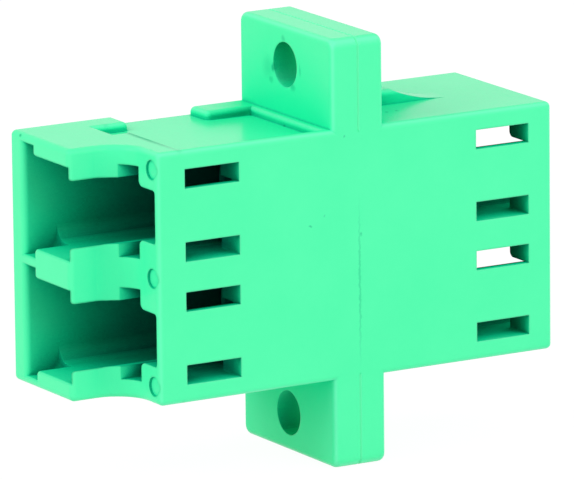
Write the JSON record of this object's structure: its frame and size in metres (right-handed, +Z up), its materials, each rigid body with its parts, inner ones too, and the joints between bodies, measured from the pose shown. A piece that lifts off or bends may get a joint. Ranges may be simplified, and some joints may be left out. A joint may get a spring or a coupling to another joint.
{
  "type": "fibre optic adapter",
  "caption": "Two-port fibre optic adapter with a screw flange, stepped plug ports, latch windows and split alignment sleeves.",
  "frame": {"origin": "middle of the flange: on the weld seam, between the two screw holes", "axes": "+X along the fibres towards the plain rear mouths, -Y the latch side, +Z up the flange"},
  "size_m": [0.0262, 0.0092, 0.022],
  "materials": {
    "housing": "moulded, light sheen",
    "sleeve": "ground ceramic"
  },
  "bodies": {
    "root": {"front_housing": "housing", "rear_housing": "housing", "upper_sleeve": "sleeve", "lower_sleeve": "sleeve"}
  },
  "joints": []
}
